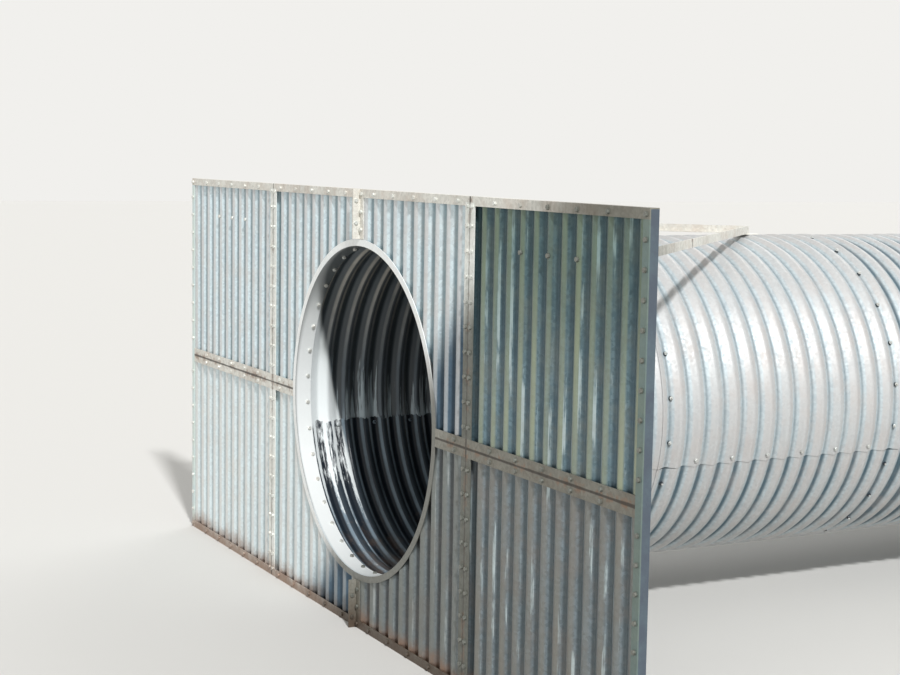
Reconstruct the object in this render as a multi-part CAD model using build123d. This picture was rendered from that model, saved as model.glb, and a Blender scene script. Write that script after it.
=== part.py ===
"""Corrugated steel pipe culvert with a framed corrugated headwall at each end, in millimetres.

The pipe runs along Y, the inlet wall faces -Y and the outlet wall mirrors it. The floor is z = 0.
Depths in a wall are measured back from the plane that its front crests touch, and called w.
"""
import os
from math import asin, atan2, cos, degrees, hypot, sin

from build123d import *

# Corrugated plate, the same rolled profile in the walls and in the pipe
PITCH = 100.0
DEPTH = 20.0
PLATE = 3.0
BEND_RADIUS = 20.0

# Clearance between bolted faces
SEAT = 0.3

# Rolled angle that frames the wall panels
LEG = 38.0
LEG_THICK = 4.0

# Headwall, in two equal halves above and below the pipe's axis
WALL_HEIGHT = 2000.0
INNER_WAVES = 10
OUTER_WAVES = 12
LAP_RISE = 14.0

# Collar round the opening: a flange on the wall and a sleeve into the pipe
SLEEVE_RADIUS = 746.0
SLEEVE_THICK = 5.0
SLEEVE_DEPTH = 78.0
FLANGE_WIDTH = 30.0
FLANGE_THICK = 3.0
CUT_CLEARANCE = 3.0
FLANGE_CLEARANCE = 2.0

# Pipe of rings, each an upper and a lower plate; every second ring laps over its neighbours
RINGS = 5
RING_WAVES = 12
LAP_WAVES = 1
SEAM_DROP = 160.0
SEAM_LAP = 60.0
PIPE_GAP = 1.0

# Tie-back bracing over the crown, counted in waves out from the lap and in along the pipe
STIFFENER_MIDDLE_WAVES = 6
STIFFENER_WAVES = 8
STRUT_WALL_WAVES = 9.5
STRUT_PIPE_WAVES = 21
BRACKET_LENGTH = 120.0
BRACKET_WIDTH = 90.0
MITRE_GAP = 2.0

# Derived from the sizes above
AXIS_HEIGHT = WALL_HEIGHT / 2
PLATE_STACK = DEPTH + PLATE
WAVE_REACH = hypot(PITCH / 2, 2 * BEND_RADIUS - DEPTH)
SLOPE = asin(2 * BEND_RADIUS / WAVE_REACH) - atan2(2 * BEND_RADIUS - DEPTH, PITCH / 2)
NEST = (PLATE + SEAT) / cos(SLOPE)
LAP_X = (INNER_WAVES + 0.5) * PITCH
EDGE_X = LAP_X + (OUTER_WAVES + 0.5) * PITCH
FLANGE_RADIUS = SLEEVE_RADIUS + FLANGE_WIDTH
SLEEVE_OUTER = SLEEVE_RADIUS + SLEEVE_THICK
CUT_RADIUS = SLEEVE_OUTER + CUT_CLEARANCE
FRAME_CUT_RADIUS = FLANGE_RADIUS + FLANGE_CLEARANCE
PIPE_CREST_RADIUS = SLEEVE_OUTER + SEAT + PLATE / 2 + DEPTH
PIPE_OUTER = PIPE_CREST_RADIUS + PLATE / 2 + 2 * NEST
PIPE_LENGTH = RINGS * RING_WAVES * PITCH
SEAM_ANGLE = degrees(asin(SEAM_DROP / PIPE_CREST_RADIUS))
LAP_ANGLE = degrees(SEAM_LAP / PIPE_CREST_RADIUS)
FRONT_Y = -(PIPE_LENGTH / 2 + PIPE_GAP + PLATE_STACK)
STIFFENER_X = LAP_X + STIFFENER_MIDDLE_WAVES * PITCH
STRUT_X = LAP_X + STRUT_WALL_WAVES * PITCH
STRUT_W = PLATE_STACK + PIPE_GAP + STRUT_PIPE_WAVES * PITCH
SHELF_TOP = AXIS_HEIGHT + PIPE_OUTER + SEAT + LEG_THICK

FACE = (-SEAT - LEG_THICK, -SEAT)
RETURN = (-SEAT - LEG_THICK, LEG - SEAT - LEG_THICK)
STAND = (-SEAT - LEG, -SEAT)
CAP_LOW = WALL_HEIGHT - LEG
WALER_TOP = AXIS_HEIGHT + SEAT + LEG
WALER_LOW = AXIS_HEIGHT - SEAT - LEG


def block(x_span, w_span, z_span):
    """Straight bar between two values along each axis of the inlet wall."""
    (x0, x1), (w0, w1), (z0, z1) = x_span, w_span, z_span
    centre = Pos((x0 + x1) / 2, FRONT_Y + (w0 + w1) / 2, (z0 + z1) / 2)
    return centre * Box(x1 - x0, w1 - w0, z1 - z0)


def drum(radius):
    """Cylinder along the pipe's axis, long enough to cut right through the inlet wall."""
    return Pos(0, FRONT_Y, AXIS_HEIGHT) * Rot(90, 0, 0) * Cylinder(radius, 4 * LEG)


def wave_side(valleys, start, end, lift, place):
    """One face line of a corrugated plate: crests and valleys of true arcs joined by tangents."""
    crest_radius = BEND_RADIUS + lift
    valley_radius = BEND_RADIUS - lift

    def crest(centre, angle):
        return place(centre + crest_radius * sin(angle), crest_radius * cos(angle) - BEND_RADIUS)

    def valley(centre, angle):
        return place(centre + valley_radius * sin(angle), BEND_RADIUS - DEPTH - valley_radius * cos(angle))

    lines = []
    reached = start
    for middle in valleys:
        left = middle - PITCH / 2
        right = middle + PITCH / 2
        if left - reached > SEAT:
            lines.append(Line(place(reached, lift), crest(left, 0)))
        lines.append(ThreePointArc(crest(left, 0), crest(left, SLOPE / 2), crest(left, SLOPE)))
        lines.append(Line(crest(left, SLOPE), valley(middle, -SLOPE)))
        lines.append(ThreePointArc(valley(middle, -SLOPE), valley(middle, 0), valley(middle, SLOPE)))
        lines.append(Line(valley(middle, SLOPE), crest(right, -SLOPE)))
        lines.append(ThreePointArc(crest(right, -SLOPE), crest(right, -SLOPE / 2), crest(right, 0)))
        reached = right
    if end - reached > SEAT:
        lines.append(Line(crest(reached, 0), place(end, lift)))
    return lines


def wave_face(first_valley, waves, start, end, place):
    """Section of a corrugated plate, PLATE thick, with its crest level run on flat to start and end."""
    valleys = [first_valley + wave * PITCH for wave in range(waves)]
    sides = [wave_side(valleys, start, end, lift, place) for lift in (PLATE / 2, -PLATE / 2)]
    caps = [Line(place(run, -PLATE / 2), place(run, PLATE / 2)) for run in (start, end)]
    return make_face(sides[0] + sides[1] + caps)


def wall_sheet(first_valley, waves, x_span, z_span):
    """Corrugated wall panel with upright waves, trimmed to its frame and cut round the opening."""
    start = min(first_valley - PITCH / 2, x_span[0])
    end = max(first_valley + (waves - 0.5) * PITCH, x_span[1])
    section = wave_face(first_valley, waves, start, end,
                        lambda run, level: (run, FRONT_Y + PLATE / 2 - level))
    sheet = Pos(0, 0, z_span[0]) * extrude(section, z_span[1] - z_span[0], dir=(0, 0, 1))
    sheet = sheet & block(x_span, (-SEAT, PLATE_STACK + SEAT), z_span)
    return sheet - drum(CUT_RADIUS)


def wall_sheets():
    """The four right-hand panels by level and place; the left-hand ones are their mirror images."""
    upper = (AXIS_HEIGHT + 2 * SEAT + LEG_THICK, WALL_HEIGHT - LEG_THICK - SEAT)
    lower = (LEG_THICK + SEAT, AXIS_HEIGHT - 2 * SEAT - LEG_THICK)
    inner = (SEAT, LAP_X - 2 * SEAT - LEG_THICK)
    outer = (LAP_X + 2 * SEAT + LEG_THICK, EDGE_X - LEG_THICK - SEAT)
    sheets = {}
    for level, z_span in (("upper", upper), ("lower", lower)):
        sheets[level, "inner"] = wall_sheet(PITCH, INNER_WAVES, inner, z_span)
        sheets[level, "outer"] = wall_sheet(LAP_X + PITCH / 2, OUTER_WAVES, outer, z_span)
    return sheets


def cap_angle():
    """Angle over the top of a wall half: front leg notched for the lap angles, top leg over the sheets."""
    front = block((LEG + 2 * SEAT, EDGE_X), FACE, (CAP_LOW, WALL_HEIGHT))
    notch_x = (LAP_X - LEG - 2 * SEAT, LAP_X + LEG + 2 * SEAT)
    notch = block(notch_x, RETURN, (CAP_LOW - SEAT, CAP_LOW + LAP_RISE))
    top = block((LEG_THICK + 2 * SEAT, EDGE_X), RETURN, (WALL_HEIGHT - LEG_THICK, WALL_HEIGHT))
    return front - notch + top


def foot_angle():
    """Angle under a wall half; its level leg stands on the ground."""
    front = block((LEG + 2 * SEAT, EDGE_X), FACE, (0, LEG))
    sole = block((LEG_THICK + 2 * SEAT, EDGE_X), RETURN, (0, LEG_THICK))
    return front + sole


def edge_angle():
    """Upright angle at the outer edge, its front leg fitted between the cap's and the foot's."""
    side_x = (EDGE_X - LEG_THICK, EDGE_X)
    front_z = (LEG + SEAT, CAP_LOW - SEAT)
    side_z = (LEG_THICK + SEAT, WALL_HEIGHT - LEG_THICK - SEAT)
    front = block((EDGE_X - LEG, EDGE_X), FACE, front_z)
    side = block(side_x, RETURN, front_z)
    side_ends = block(side_x, (0, RETURN[1]), side_z)
    return front + side + side_ends


def waler_angle(upper):
    """Level angle at the height of the pipe's axis, from the collar to the edge angle."""
    x_span = (0, EDGE_X - LEG - SEAT)
    if upper:
        front_z = (AXIS_HEIGHT + SEAT, WALER_TOP)
        leg_z = (AXIS_HEIGHT + SEAT, AXIS_HEIGHT + SEAT + LEG_THICK)
    else:
        front_z = (WALER_LOW, AXIS_HEIGHT - SEAT)
        leg_z = (AXIS_HEIGHT - SEAT - LEG_THICK, AXIS_HEIGHT - SEAT)
    return block(x_span, FACE, front_z) + block(x_span, RETURN, leg_z) - drum(FRAME_CUT_RADIUS)


def joint_angles():
    """Upright angles at the middle of the wall, above and below the opening, with legs standing forward."""
    pieces = []
    flat = block((SEAT, LEG + SEAT), FACE, (LEG_THICK + SEAT, WALL_HEIGHT - LEG_THICK - SEAT))
    rib = block((SEAT, LEG_THICK + SEAT), STAND, (0, WALL_HEIGHT))
    whole = flat + rib - drum(FRAME_CUT_RADIUS)
    for solid in whole.solids():
        pieces += [solid, mirror(solid, about=Plane.YZ)]
    return pieces


def lap_angles():
    """Pairs of upright angles where the inner and outer panels meet, above and below the walers."""
    pieces = []
    spans = ((WALER_TOP + SEAT, CAP_LOW + LAP_RISE - SEAT), (LEG + SEAT, WALER_LOW - SEAT))
    for z_span in spans:
        for side in (-1, 1):
            near = LAP_X + side * SEAT
            face_x = sorted((near, near + side * LEG))
            back_x = sorted((near, near + side * LEG_THICK))
            angle = block(face_x, FACE, z_span) + block(back_x, RETURN, z_span)
            pieces += [angle, mirror(angle, about=Plane.YZ)]
    return pieces


def collar():
    """Flange on the wall and sleeve into the pipe, turned as one piece."""
    front = FRONT_Y - SEAT - FLANGE_THICK
    back = FRONT_Y + SLEEVE_DEPTH
    outline = Polyline(
        (SLEEVE_RADIUS, front),
        (FLANGE_RADIUS, front),
        (FLANGE_RADIUS, front + FLANGE_THICK),
        (SLEEVE_OUTER, front + FLANGE_THICK),
        (SLEEVE_OUTER, back),
        (SLEEVE_RADIUS, back),
        close=True,
    )
    return Pos(0, 0, AXIS_HEIGHT) * revolve(make_face(outline), axis=Axis.Y)


def rear_stiffener():
    """Level angle bolted across the back of an outer panel; its shelf carries the strut's foot."""
    reach = STIFFENER_WAVES * PITCH / 2
    x_span = (STIFFENER_X - reach, STIFFENER_X + reach)
    back = PLATE_STACK + SEAT
    shelf_low = SHELF_TOP - LEG_THICK
    upright = block(x_span, (back, back + LEG_THICK), (shelf_low, shelf_low + LEG))
    shelf = block(x_span, (back, back + LEG), (shelf_low, SHELF_TOP))
    return upright + shelf


def tie_strut():
    """Angle from the stiffener's shelf back to the bracket on the crown, mitred on the middle plane."""
    upright_back = PLATE_STACK + SEAT + LEG_THICK
    shelf_w = upright_back + (LEG - LEG_THICK) / 2
    run = hypot(STRUT_X, STRUT_W - shelf_w)
    heading = degrees(atan2(STRUT_W - shelf_w, -STRUT_X))
    overrun = 3 * LEG
    flat = Pos(run / 2, 0, LEG_THICK / 2) * Box(run + overrun, LEG, LEG_THICK)
    upright = Pos(run / 2, (LEG_THICK - LEG) / 2, LEG / 2) * Box(run + overrun, LEG_THICK, LEG)
    start = Pos(STRUT_X, FRONT_Y + shelf_w, SHELF_TOP + SEAT)
    strut = start * Rot(0, 0, heading) * (flat + upright)
    trimmed_w = (upright_back + SEAT, STRUT_W + overrun)
    return strut & block((MITRE_GAP / 2, EDGE_X), trimmed_w, (SHELF_TOP, SHELF_TOP + 2 * LEG))


def tie_bracket():
    """Plate under the meeting struts, laid on the pipe's crown."""
    w_span = (STRUT_W - BRACKET_LENGTH / 2, STRUT_W + BRACKET_LENGTH / 2)
    return block((-BRACKET_WIDTH / 2, BRACKET_WIDTH / 2), w_span, (SHELF_TOP - LEG_THICK, SHELF_TOP))


def laps_outside(ring):
    """True for the rings that lap over both neighbours."""
    return ring % 2 == 1


def ring_plate(ring, upper):
    """Upper or lower plate of one pipe ring; upper plates lap outside lower ones along both seams."""
    lap = LAP_WAVES if laps_outside(ring) else 0
    layers = int(laps_outside(ring)) + int(upper)
    radius = PIPE_CREST_RADIUS + NEST * layers
    waves = RING_WAVES + 2 * lap
    start = (ring * RING_WAVES - lap) * PITCH - PIPE_LENGTH / 2
    end = start + waves * PITCH
    section = wave_face(start + PITCH / 2, waves, start, end, lambda run, level: (radius + level, run))
    turn = 180 - SEAM_ANGLE - LAP_ANGLE if upper else SEAM_ANGLE
    arc = 180 + 2 * (SEAM_ANGLE + LAP_ANGLE) if upper else 180 - 2 * SEAM_ANGLE
    plate = Rot(0, turn, 0) * revolve(section, axis=Axis.Y, revolution_arc=arc)
    if lap and not upper:
        plate = notch_corners(plate, start, end)
    return Pos(0, 0, AXIS_HEIGHT) * plate


def notch_corners(plate, start, end):
    """Cuts a lower plate's corners back where the neighbouring rings' upper plates lap down."""
    lap = LAP_WAVES * PITCH + SEAT
    drop = SEAM_DROP + SEAM_LAP + PLATE
    width = 4 * PIPE_CREST_RADIUS
    for low in (start, end - lap):
        plate -= Pos(0, low + lap / 2, 0) * Box(width, lap, 2 * drop)
    return plate


def wall_nodes():
    """Every node of the inlet wall as a list of solids."""
    nodes = {}
    for (level, place), sheet in wall_sheets().items():
        nodes[f"{level}_{place}_sheet_right"] = [sheet]
        nodes[f"{level}_{place}_sheet_left"] = [mirror(sheet, about=Plane.YZ)]
    paired = {
        "cap_angles": cap_angle(),
        "foot_angles": foot_angle(),
        "edge_angles": edge_angle(),
        "upper_walers": waler_angle(True),
        "lower_walers": waler_angle(False),
        "rear_stiffeners": rear_stiffener(),
        "tie_struts": tie_strut(),
    }
    for name, piece in paired.items():
        nodes[name] = [piece, mirror(piece, about=Plane.YZ)]
    nodes["joint_angles"] = joint_angles()
    nodes["lap_angles"] = lap_angles()
    nodes["collar"] = [collar()]
    nodes["tie_bracket"] = [tie_bracket()]
    return nodes


def write(name, pieces):
    """Writes one node's solids to its file."""
    solids = [solid for piece in pieces for solid in piece.solids()]
    shape = solids[0] if len(solids) == 1 else Compound(children=solids)
    export_step(shape, f"parts/{name}.step")


os.makedirs("parts", exist_ok=True)
for name, pieces in wall_nodes().items():
    write(f"inlet_{name}", pieces)
    write(f"outlet_{name}", [mirror(piece, about=Plane.XZ) for piece in pieces])
for ring in range(RINGS):
    write(f"pipe_ring_{ring + 1}_upper", [ring_plate(ring, True)])
    write(f"pipe_ring_{ring + 1}_lower", [ring_plate(ring, False)])
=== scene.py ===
"""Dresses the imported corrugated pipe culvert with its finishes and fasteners, and sets the studio.

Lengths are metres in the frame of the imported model: the pipe's axis runs along Y at half the
walls' height, the inlet wall faces -Y and the outlet wall mirrors it. Depth in a wall is counted
back from the plane of its front crests.
"""
import logging
import math
import random
from dataclasses import dataclass, field
from enum import Enum
from typing import Iterator

import bmesh
import bpy
from mathutils import Matrix, Vector


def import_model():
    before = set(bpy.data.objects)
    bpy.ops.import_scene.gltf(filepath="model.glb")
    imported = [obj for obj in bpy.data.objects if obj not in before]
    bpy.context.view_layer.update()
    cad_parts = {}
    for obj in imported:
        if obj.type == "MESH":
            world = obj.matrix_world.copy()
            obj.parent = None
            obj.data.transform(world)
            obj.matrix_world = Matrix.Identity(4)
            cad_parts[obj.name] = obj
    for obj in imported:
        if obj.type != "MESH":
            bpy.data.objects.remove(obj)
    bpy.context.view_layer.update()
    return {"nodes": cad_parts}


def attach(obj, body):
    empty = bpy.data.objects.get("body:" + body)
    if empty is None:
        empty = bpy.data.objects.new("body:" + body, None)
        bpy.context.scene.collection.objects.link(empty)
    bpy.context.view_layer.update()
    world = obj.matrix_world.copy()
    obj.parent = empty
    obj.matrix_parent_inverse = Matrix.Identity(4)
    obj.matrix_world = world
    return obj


Socket = bpy.types.NodeSocket
Value = float | Socket
Spot = tuple[float, float, float] | Socket
Tint = str | Socket
Grain = dict[str, Socket]

LOG = logging.getLogger("culvert")
BODY = "root"


def linear(colour: str) -> tuple[float, float, float, float]:
    """Turns an sRGB hex colour into linear light.

    Args:
        colour: Six hex digits after a hash sign.

    Returns:
        Linear red, green and blue, with an alpha of 1.
    """
    channels = [int(colour[start:start + 2], 16) / 255 for start in (1, 3, 5)]
    light = [c / 12.92 if c <= 0.04045 else ((c + 0.055) / 1.055) ** 2.4 for c in channels]
    return (light[0], light[1], light[2], 1.0)


def add_node(tree: bpy.types.NodeTree, kind: str, inputs: dict | None = None,
             out: int | str = 0, **settings: object) -> Socket | None:
    """Adds a node with its settings, and fills its inputs with values or links.

    Args:
        tree: Node tree that takes the node.
        kind: The node's type.
        inputs: Value or output socket for each input, by the input's name or number.
        out: Name or number of the output that the caller goes on from.
        **settings: Properties of the node itself.

    Returns:
        The chosen output socket, or None for a node without outputs.
    """
    node = tree.nodes.new(kind)
    for name, value in settings.items():
        setattr(node, name, value)
    for key, value in (inputs or {}).items():
        if isinstance(value, Socket):
            tree.links.new(value, node.inputs[key])
        else:
            node.inputs[key].default_value = value
    return node.outputs[out] if node.outputs else None


def drawn_out(size: tuple[float, float]) -> tuple[float, float, float]:
    """Scale for each axis of a pattern with a width and an upright length."""
    width, length = size
    return (1 / width, 1 / width, 1 / length)


class End(Enum):
    """The two ends of the culvert; the value is the direction in which the wall faces along Y."""

    INLET = -1
    OUTLET = 1

    @property
    def label(self) -> str:
        """Prefix of the end's node names."""
        return self.name.lower()


@dataclass(frozen=True)
class Steelwork:
    """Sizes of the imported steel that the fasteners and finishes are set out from."""

    front: float = 3.024
    height: float = 2.0
    pitch: float = 0.1
    depth: float = 0.023
    plate: float = 0.003
    leg: float = 0.038
    leg_thick: float = 0.004
    seat: float = 0.0003
    lap_x: float = 1.05
    edge_x: float = 2.3
    sleeve_radius: float = 0.746
    trough_radius: float = 0.7513
    crest_radius: float = 0.7743
    nest: float = 0.00368
    shelf_top: float = 1.78595
    stiffener_x: float = 1.65
    strut_x: float = 2.0
    strut_depth: float = 0.0443
    tie_depth: float = 2.124

    @property
    def axis(self) -> float:
        """Height of the pipe's axis."""
        return self.height / 2

    @property
    def face(self) -> float:
        """Depth of the front of the framing angles."""
        return -self.seat - self.leg_thick

    def mirrored(self, heights: list[float]) -> list[float]:
        """Heights with their mirror images below the axis."""
        return heights + [self.height - z for z in heights]


STEEL = Steelwork()


@dataclass(frozen=True)
class Seat:
    """Where one bolt goes: the point under its washer, the way its head looks and its grip."""

    point: Vector
    facing: Vector
    grip: float


@dataclass(frozen=True)
class BoltSize:
    """An M10 hexagon bolt with two washers and a nut, hot-dip galvanised."""

    across_flats: float = 0.0165
    head: float = 0.0064
    nut: float = 0.0084
    washer_radius: float = 0.01
    washer: float = 0.002
    thread_radius: float = 0.005
    tail: float = 0.006
    chamfer: float = 0.001


class BoltGroup:
    """One joined mesh of bolts, each with its head, washers, nut and thread end."""

    WASHER_SIDES = 14
    HEAD_SIDES = 6
    THREAD_SIDES = 8

    def __init__(self, name: str, size: BoltSize, seats: list[Seat], seed: int) -> None:
        """Keeps the group's name, its bolts' size and seats, and the seed of their turns."""
        self.name = name
        self.size = size
        self.seats = seats
        self.turns = random.Random(seed)

    def _disc(self, bm: bmesh.types.BMesh, sides: int, radius: float, low: float, high: float,
              chamfered: bool) -> None:
        """Adds an upright prism to the template.

        Args:
            bm: Mesh that takes the prism.
            sides: Number of its sides.
            radius: Radius to its corners.
            low: Height of its base.
            high: Height of its top.
            chamfered: Whether its top rim is bevelled.
        """
        made = bmesh.ops.create_cone(bm, cap_ends=True, cap_tris=False, segments=sides,
                                     radius1=radius, radius2=radius, depth=high - low,
                                     matrix=Matrix.Translation((0, 0, (low + high) / 2)))
        if chamfered:
            rim = {edge for vert in made["verts"] for edge in vert.link_edges
                   if all(end.co.z > (low + high) / 2 for end in edge.verts)}
            bmesh.ops.bevel(bm, geom=list(rim), offset=self.size.chamfer, offset_type="OFFSET",
                            affect="EDGES", segments=1, profile=0.5, material=-1)

    def _template(self, nut: bool) -> bpy.types.Mesh:
        """Builds the head's or the nut's side of a bolt, standing on the plane z = 0.

        Args:
            nut: True for the nut with the thread's end, False for the head.

        Returns:
            The template as a mesh.
        """
        size = self.size
        corner = size.across_flats / math.sqrt(3)
        top = size.washer + (size.nut if nut else size.head)
        bm = bmesh.new()
        self._disc(bm, self.WASHER_SIDES, size.washer_radius, 0, size.washer, False)
        self._disc(bm, self.HEAD_SIDES, corner, size.washer, top, True)
        if nut:
            self._disc(bm, self.THREAD_SIDES, size.thread_radius, top, top + size.tail, True)
        mesh = bpy.data.meshes.new(f"{self.name}_template")
        bm.to_mesh(mesh)
        bm.free()
        return mesh

    def build(self) -> bpy.types.Object:
        """Copies the two templates to every seat and joins them in one object."""
        templates = {False: self._template(False), True: self._template(True)}
        bm = bmesh.new()
        for seat in self.seats:
            for nut, template in templates.items():
                way = -seat.facing if nut else seat.facing
                point = seat.point - seat.facing * seat.grip if nut else seat.point
                turn = Matrix.Rotation(self.turns.uniform(0, math.pi / 3), 4, "Z")
                first = len(bm.verts)
                bm.from_mesh(template)
                bm.verts.ensure_lookup_table()
                upright = way.to_track_quat("Z", "Y").to_matrix().to_4x4()
                place = Matrix.Translation(point) @ upright
                bmesh.ops.transform(bm, matrix=place @ turn, verts=bm.verts[first:])
        mesh = bpy.data.meshes.new(self.name)
        bm.to_mesh(mesh)
        bm.free()
        for template in templates.values():
            bpy.data.meshes.remove(template)
        piece = bpy.data.objects.new(self.name, mesh)
        bpy.context.scene.collection.objects.link(piece)
        return piece


@dataclass
class WallFasteners:
    """Bolts of one headwall: its frame, laps, walers, joint, collar and tie-back."""

    end: End
    size: BoltSize = field(default_factory=BoltSize)
    sheet_nut_depth: float = 0.007
    lap_nut_depth: float = 0.012
    leg_bolt_depth: float = 0.021
    rib_bolt_depth: float = -0.024
    cap_drop: float = 0.021
    waler_rise: float = 0.021
    joint_column: float = 0.021
    joint_heights: tuple[float, ...] = (1.979, 1.9, 1.82)
    rib_heights: tuple[float, ...] = (1.85, 1.95)
    edge_start: float = 1.095
    lap_start: float = 1.085
    lap_top: float = 1.962
    lap_leg_start: float = 1.135
    inner_crest: float = 0.15
    waler_crest: float = 0.95
    waler_leg: float = 0.85
    collar_bolts: int = 36
    collar_depth: float = 0.062
    collar_nut_radius: float = 0.763
    shelf_rise: float = 0.017
    tip_x: float = 0.026
    tip_inset: float = 0.027
    tip_grip: float = 0.026

    def at(self, x: float, depth: float, z: float) -> Vector:
        """Point in this wall from its place across, its depth and its height."""
        return Vector((x, self.end.value * (STEEL.front - depth), z))

    @property
    def outward(self) -> Vector:
        """The way that the wall faces."""
        return Vector((0, self.end.value, 0))

    def _through(self, x: float, z: float, depth: float, back: float) -> Seat:
        """Seat of a bolt that goes straight back through the wall, from one depth to another."""
        return Seat(self.at(x, depth, z), self.outward, back - depth)

    def _column(self, start: float, step: float, count: int, *more: float) -> list[float]:
        """Heights of a column of evenly spaced bolts and any more, with their mirror images."""
        return STEEL.mirrored([start + step * bolt for bolt in range(count)] + list(more))

    def outer_crests(self) -> list[float]:
        """Every second crest of an outer panel that takes a bolt."""
        return [STEEL.lap_x + STEEL.pitch * 2 * (step + 1) for step in range(5)]

    def frame_seats(self) -> Iterator[Seat]:
        """Cap and foot on every second crest, edges every wave, and the joints at the opening."""
        edge_line = STEEL.edge_x - STEEL.leg / 2
        rows = STEEL.mirrored([STEEL.height - self.cap_drop])
        crests = [self.inner_crest + 2 * STEEL.pitch * step for step in range(5)]
        crests += self.outer_crests()
        for side in (-1, 1):
            for z in rows:
                for x in crests:
                    yield self._through(side * x, z, STEEL.face, self.sheet_nut_depth)
                yield self._through(side * edge_line, z, STEEL.face, STEEL.plate)
            for z in self._column(self.edge_start, STEEL.pitch, 9):
                yield self._through(side * edge_line, z, STEEL.face, STEEL.plate)
            for z in STEEL.mirrored(list(self.joint_heights)):
                yield self._through(side * self.joint_column, z, STEEL.face, STEEL.plate)
        rib = STEEL.seat + STEEL.leg_thick
        for z in STEEL.mirrored(list(self.rib_heights)):
            yield Seat(self.at(rib, self.rib_bolt_depth, z), Vector((1, 0, 0)), 2 * rib)

    def lap_seats(self) -> Iterator[Seat]:
        """Two columns of bolts down each lap, and the bolts between its two back legs."""
        leg = STEEL.seat + STEEL.leg_thick
        column = STEEL.seat + STEEL.leg / 2
        for side in (-1, 1):
            for z in self._column(self.lap_start, STEEL.pitch, 9, self.lap_top):
                for offset in (-column, column):
                    yield self._through(side * (STEEL.lap_x + offset), z, STEEL.face,
                                        self.lap_nut_depth)
            for z in self._column(self.lap_leg_start, 2 * STEEL.pitch, 4):
                point = self.at(side * STEEL.lap_x + leg, self.leg_bolt_depth, z)
                yield Seat(point, Vector((1, 0, 0)), 2 * leg)

    def waler_seats(self) -> Iterator[Seat]:
        """Bolts through both walers on every second crest, and those between their back legs."""
        leg = STEEL.seat + STEEL.leg_thick
        for side in (-1, 1):
            for x in [self.waler_crest] + self.outer_crests():
                for z in STEEL.mirrored([STEEL.axis + self.waler_rise]):
                    yield self._through(side * x, z, STEEL.face, self.sheet_nut_depth)
            for x in [self.waler_leg] + [x - STEEL.pitch for x in self.outer_crests()[1:]]:
                point = self.at(side * x, self.leg_bolt_depth, STEEL.axis + leg)
                yield Seat(point, Vector((0, 0, 1)), 2 * leg)

    def collar_seats(self) -> Iterator[Seat]:
        """Ring of bolts that hold the sleeve in the pipe, with their heads inside."""
        for step in range(self.collar_bolts):
            angle = 2 * math.pi * (step + 0.5) / self.collar_bolts
            spoke = Vector((math.cos(angle), 0, math.sin(angle)))
            centre = self.at(0, self.collar_depth, STEEL.axis)
            yield Seat(centre + spoke * STEEL.sleeve_radius, -spoke,
                       self.collar_nut_radius - STEEL.sleeve_radius)

    def tie_seats(self) -> Iterator[Seat]:
        """Bolts of the rear stiffeners, the struts' feet and the plate on the crown."""
        back = STEEL.depth + STEEL.seat
        up = Vector((0, 0, 1))
        strut_top = STEEL.shelf_top + STEEL.seat + STEEL.leg_thick
        for side in (-1, 1):
            for offset in (-2, 0, 2):
                x = side * (STEEL.stiffener_x + offset * STEEL.pitch)
                yield self._through(x, STEEL.shelf_top + self.shelf_rise, 0,
                                    back + STEEL.leg_thick)
            foot = self.at(side * STEEL.strut_x, STEEL.strut_depth, strut_top)
            yield Seat(foot, up, 2 * STEEL.leg_thick + STEEL.seat)
            tip = self.at(side * self.tip_x, STEEL.tie_depth - self.tip_inset, strut_top)
            yield Seat(tip, up, self.tip_grip)

    def groups(self) -> list[BoltGroup]:
        """The wall's fasteners, one joined piece for each part of it."""
        seats = {
            "frame": self.frame_seats(),
            "lap": self.lap_seats(),
            "waler": self.waler_seats(),
            "collar": self.collar_seats(),
            "tie": self.tie_seats(),
        }
        return [BoltGroup(f"{self.end.label}_{part}_bolts", self.size, list(found), seed)
                for seed, (part, found) in enumerate(seats.items())]


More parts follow.
